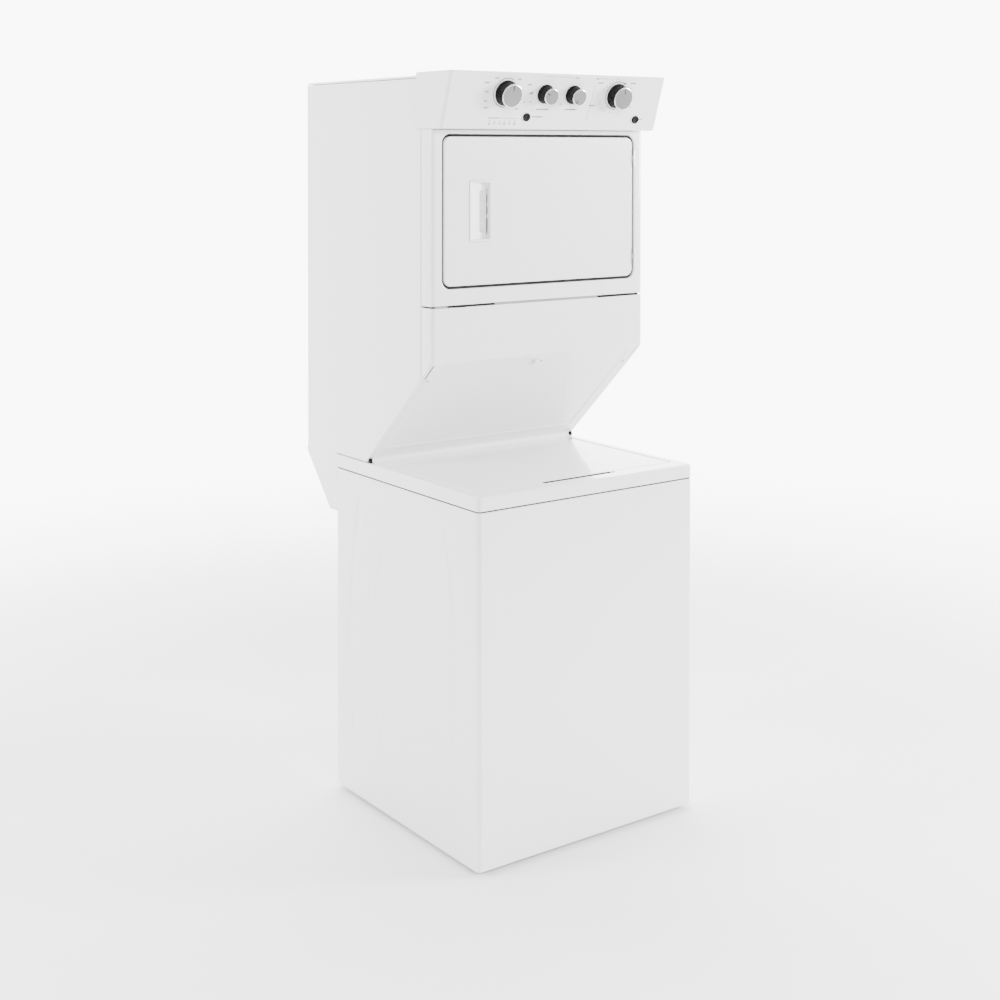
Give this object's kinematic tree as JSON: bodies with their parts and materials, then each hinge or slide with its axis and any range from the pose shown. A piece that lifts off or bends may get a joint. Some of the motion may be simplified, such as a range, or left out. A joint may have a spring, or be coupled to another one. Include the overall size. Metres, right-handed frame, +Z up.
{
  "type": "washer dryer stack",
  "caption": "Free-standing laundry stack: top-loading washer with hinged lid below, front-door tumble dryer on a rear stand above, one slanted control console on top.",
  "frame": {"origin": "middle of the footprint, on the floor", "axes": "+Z up, front faces -Y, +X to the right seen from the front"},
  "size_m": [0.6922, 0.8238, 1.9177],
  "materials": {
    "enamel": "gloss white enamel",
    "console_plastic": "satin white moulding",
    "liner_enamel": "satin enamel",
    "galvanised": "zinc-coated sheet",
    "tub_plastic": "moulded polypropylene",
    "basket_steel": "perforated stainless",
    "black_plastic": "black moulding",
    "knob_metal": "black skirt, silver cap",
    "motor_steel": "painted motor shell",
    "gear_alloy": "die cast",
    "bright_steel": "plated steel",
    "rubber": "moulded rubber",
    "lint_mesh": "plastic frame with mesh",
    "board": "circuit board",
    "switch_body": "moulded switch"
  },
  "bodies": {
    "cabinet": {"washer_cabinet": "enamel", "washer_base_frame": "galvanised", "washer_rear_panel": "galvanised", "levelling_feet": "rubber", "washer_top": "enamel", "outer_tub": "tub_plastic", "suspension_rods": "bright_steel", "washer_motor": "motor_steel", "gearcase": "gear_alloy", "drain_pump": "black_plastic", "drain_hose": "rubber", "inlet_valve": "black_plastic", "lid_lock": "black_plastic", "lid_bumper": "rubber", "washer_belt": "rubber", "dryer_side_left": "enamel", "dryer_side_right": "enamel", "dryer_top_panel": "enamel", "dryer_rear_panel": "galvanised", "dryer_front_panel": "enamel", "lower_access_panel": "enamel", "sloped_panel": "enamel", "rear_stand": "enamel", "dryer_base_pan": "galvanised", "front_bulkhead": "liner_enamel", "rear_bulkhead": "liner_enamel", "dryer_motor": "motor_steel", "blower_housing": "tub_plastic", "exhaust_duct": "galvanised", "heater_housing": "galvanised", "drum_belt": "rubber", "console_housing": "console_plastic", "console_fascia": "console_plastic", "control_board": "board", "rotary_switches": "switch_body", "panel_screws": "bright_steel", "door_catch": "bright_steel"},
    "lid": {"washer_lid": "enamel"},
    "basket": {"wash_basket": "basket_steel", "balance_ring": "tub_plastic"},
    "agitator_drive": {"agitator": "tub_plastic", "drive_pulley": "gear_alloy"},
    "washer_rotor": {"motor_pulley": "gear_alloy"},
    "drum": {"dryer_drum": "liner_enamel"},
    "left_roller": {"roller_left": "black_plastic"},
    "right_roller": {"roller_right": "black_plastic"},
    "blower_rotor": {"blower_wheel": "black_plastic"},
    "idler": {"idler_pulley": "black_plastic"},
    "lint_filter": {"lint_screen": "lint_mesh"},
    "dryer_door": {"door_panel": "enamel", "door_liner": "liner_enamel", "door_seal": "rubber", "door_handle": "console_plastic", "door_hinges": "bright_steel"},
    "cycle_dial": {"cycle_knob": "knob_metal"},
    "temperature_dial": {"temperature_knob": "knob_metal"},
    "softener_dial": {"softener_knob": "knob_metal"},
    "timer_dial": {"timer_knob": "knob_metal"},
    "washer_start": {"washer_start_button": "black_plastic"},
    "dryer_start": {"dryer_start_button": "black_plastic"}
  },
  "joints": [
    {"name": "lid_hinge", "type": "hinge", "parent": "cabinet", "child": "lid", "pos_m": [0, 0.07, 0.8955], "axis": [-1, 0, 0], "range_deg": [0, 43]},
    {"name": "dryer_door_hinge", "type": "hinge", "parent": "cabinet", "child": "dryer_door", "pos_m": [0.30875, -0.216, 1.5715], "axis": [0, 0, 1], "range_deg": [0, 170]},
    {"name": "basket_spin", "type": "hinge", "parent": "cabinet", "child": "basket", "pos_m": [0, -0.095, 0.5], "axis": [0, 0, 1], "continuous": true},
    {"name": "agitator_turn", "type": "hinge", "parent": "cabinet", "child": "agitator_drive", "pos_m": [0, -0.095, 0.4], "axis": [0, 0, 1], "continuous": true},
    {"name": "washer_rotor_spin", "type": "hinge", "parent": "cabinet", "child": "washer_rotor", "pos_m": [0.175, -0.035, 0.11], "axis": [0, 0, 1], "continuous": true},
    {"name": "drum_spin", "type": "hinge", "parent": "cabinet", "child": "drum", "pos_m": [0, 0.1, 1.59], "axis": [0, 1, 0], "continuous": true},
    {"name": "left_roller_spin", "type": "hinge", "parent": "cabinet", "child": "left_roller", "pos_m": [-0.21633, 0.305, 1.34974], "axis": [0, 1, 0], "continuous": true},
    {"name": "right_roller_spin", "type": "hinge", "parent": "cabinet", "child": "right_roller", "pos_m": [0.21633, 0.305, 1.34974], "axis": [0, 1, 0], "continuous": true},
    {"name": "blower_spin", "type": "hinge", "parent": "cabinet", "child": "blower_rotor", "pos_m": [0, 0.1, 1.19], "axis": [0, 1, 0], "continuous": true},
    {"name": "idler_spin", "type": "hinge", "parent": "cabinet", "child": "idler", "pos_m": [0.07, 0.209, 1.252], "axis": [0, 1, 0], "continuous": true},
    {"name": "lint_screen_slide", "type": "slide", "parent": "cabinet", "child": "lint_filter", "axis": [0, 0, 1], "range_m": [0, 0.12]},
    {"name": "cycle_knob_turn", "type": "hinge", "parent": "cabinet", "child": "cycle_dial", "pos_m": [-0.17, -0.28622, 1.866], "axis": [0, -0.9511, -0.3088], "continuous": true},
    {"name": "temperature_knob_turn", "type": "hinge", "parent": "cabinet", "child": "temperature_dial", "pos_m": [-0.047, -0.28622, 1.866], "axis": [0, -0.9511, -0.3088], "range_deg": [-90, 90]},
    {"name": "softener_knob_turn", "type": "hinge", "parent": "cabinet", "child": "softener_dial", "pos_m": [0.043, -0.28622, 1.866], "axis": [0, -0.9511, -0.3088], "range_deg": [-90, 90]},
    {"name": "timer_knob_turn", "type": "hinge", "parent": "cabinet", "child": "timer_dial", "pos_m": [0.189, -0.28622, 1.866], "axis": [0, -0.9511, -0.3088], "continuous": true},
    {"name": "washer_start_press", "type": "slide", "parent": "cabinet", "child": "washer_start", "axis": [0, 0.9511, 0.3088], "range_m": [0, 0.002], "stiffness_N_per_m": 900},
    {"name": "dryer_start_press", "type": "slide", "parent": "cabinet", "child": "dryer_start", "axis": [0, 0.9511, 0.3088], "range_m": [0, 0.002], "stiffness_N_per_m": 900}
  ],
  "couplings": [
    {"joint": "washer_rotor_spin", "follows": "agitator_turn", "ratio": 4.0275},
    {"joint": "left_roller_spin", "follows": "drum_spin", "ratio": -9.0938},
    {"joint": "right_roller_spin", "follows": "drum_spin", "ratio": -9.0938},
    {"joint": "blower_spin", "follows": "drum_spin", "ratio": 24.814},
    {"joint": "idler_spin", "follows": "drum_spin", "ratio": 13.431}
  ]
}
